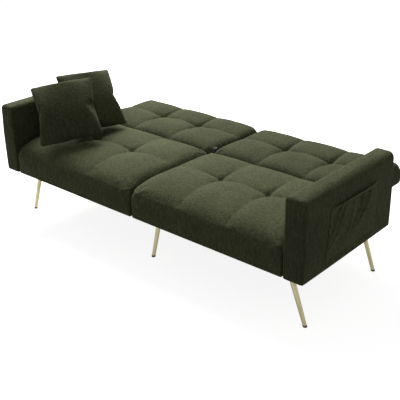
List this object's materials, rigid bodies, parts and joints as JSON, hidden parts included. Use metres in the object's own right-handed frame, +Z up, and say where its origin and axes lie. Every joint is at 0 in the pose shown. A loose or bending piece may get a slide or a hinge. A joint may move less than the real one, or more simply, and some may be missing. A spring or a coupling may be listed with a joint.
{
  "type": "futon sofa bed",
  "caption": "Upholstered futon sofa bed: tufted split seat, split backs that fold flat on click-clack hinges, padded arms with side pockets, splayed metal legs, loose pillows.",
  "frame": {"origin": "centre of the footprint's bounding box, on the floor under the feet", "axes": "+X to the right of someone who looks at the front edge of the seat, +Y from that front edge towards the backs, +Z up"},
  "size_m": [1.9, 0.965, 0.7286],
  "materials": {
    "fabric": "woven chenille, matt",
    "pillow_fabric": "woven chenille, matt",
    "pocket_fabric": "woven chenille, matt",
    "foam": "open-cell foam",
    "dust_cloth": "non-woven cloth, matt",
    "timber": "planed softwood",
    "zinc_steel": "zinc plated",
    "hinge_steel": "black oxide",
    "spring_steel": "drawn wire",
    "leg_metal": "satin pale gold",
    "foot_cap": "matt black",
    "bumper": "matt black"
  },
  "bodies": {
    "base": {"left_seat_cover": "fabric", "right_seat_cover": "fabric", "left_seat_foam": "foam", "right_seat_foam": "foam", "left_seat_springs": "spring_steel", "right_seat_springs": "spring_steel", "left_dust_cover": "dust_cloth", "right_dust_cover": "dust_cloth", "left_seat_front_rail": "timber", "right_seat_front_rail": "timber", "left_seat_rear_rail": "timber", "right_seat_rear_rail": "timber", "left_seat_outer_rail": "timber", "right_seat_outer_rail": "timber", "left_seat_inner_rail": "timber", "right_seat_inner_rail": "timber", "left_arm_core": "timber", "right_arm_core": "timber", "left_arm_cover": "fabric", "right_arm_cover": "fabric", "left_arm_pocket": "pocket_fabric", "right_arm_pocket": "pocket_fabric", "rear_beam": "timber", "beam_bumpers": "bumper", "leg_blocks": "timber", "frame_bolts": "zinc_steel", "front_left_leg": "leg_metal", "front_middle_leg": "leg_metal", "front_right_leg": "leg_metal", "rear_left_leg": "leg_metal", "rear_middle_leg": "leg_metal", "rear_right_leg": "leg_metal", "foot_caps": "foot_cap", "leg_plates": "zinc_steel", "leg_screws": "zinc_steel", "left_outer_seat_hinge": "hinge_steel", "right_outer_seat_hinge": "hinge_steel", "left_inner_seat_hinge": "hinge_steel", "right_inner_seat_hinge": "hinge_steel", "hinge_pins": "hinge_steel"},
    "left_back": {"left_outer_back_hinge": "hinge_steel", "left_inner_back_hinge": "hinge_steel", "left_back_cover": "fabric", "left_back_foam": "foam", "left_back_springs": "spring_steel", "left_back_front_rail": "timber", "left_back_rear_rail": "timber", "left_back_outer_rail": "timber", "left_back_inner_rail": "timber"},
    "right_back": {"right_outer_back_hinge": "hinge_steel", "right_inner_back_hinge": "hinge_steel", "right_back_cover": "fabric", "right_back_foam": "foam", "right_back_springs": "spring_steel", "right_back_front_rail": "timber", "right_back_rear_rail": "timber", "right_back_outer_rail": "timber", "right_back_inner_rail": "timber"},
    "front_pillow": {"front_pillow": "pillow_fabric"},
    "rear_pillow": {"rear_pillow": "pillow_fabric"}
  },
  "joints": [
    {"name": "left_back_fold", "type": "hinge", "parent": "base", "child": "left_back", "pos_m": [-0.42475, 0.1155, 0.405], "axis": [1, 0, 0], "range_deg": [0, 75]},
    {"name": "right_back_fold", "type": "hinge", "parent": "base", "child": "right_back", "pos_m": [0.42475, 0.1155, 0.405], "axis": [1, 0, 0], "range_deg": [0, 75]},
    {"name": "front_pillow_lift", "type": "slide", "parent": "base", "child": "front_pillow", "axis": [0.563, -0.5436, 0.6225], "range_m": [0, 0.3]},
    {"name": "rear_pillow_lift", "type": "slide", "parent": "base", "child": "rear_pillow", "axis": [-0.8143, 0.1217, 0.5675], "range_m": [0, 0.3]}
  ]
}
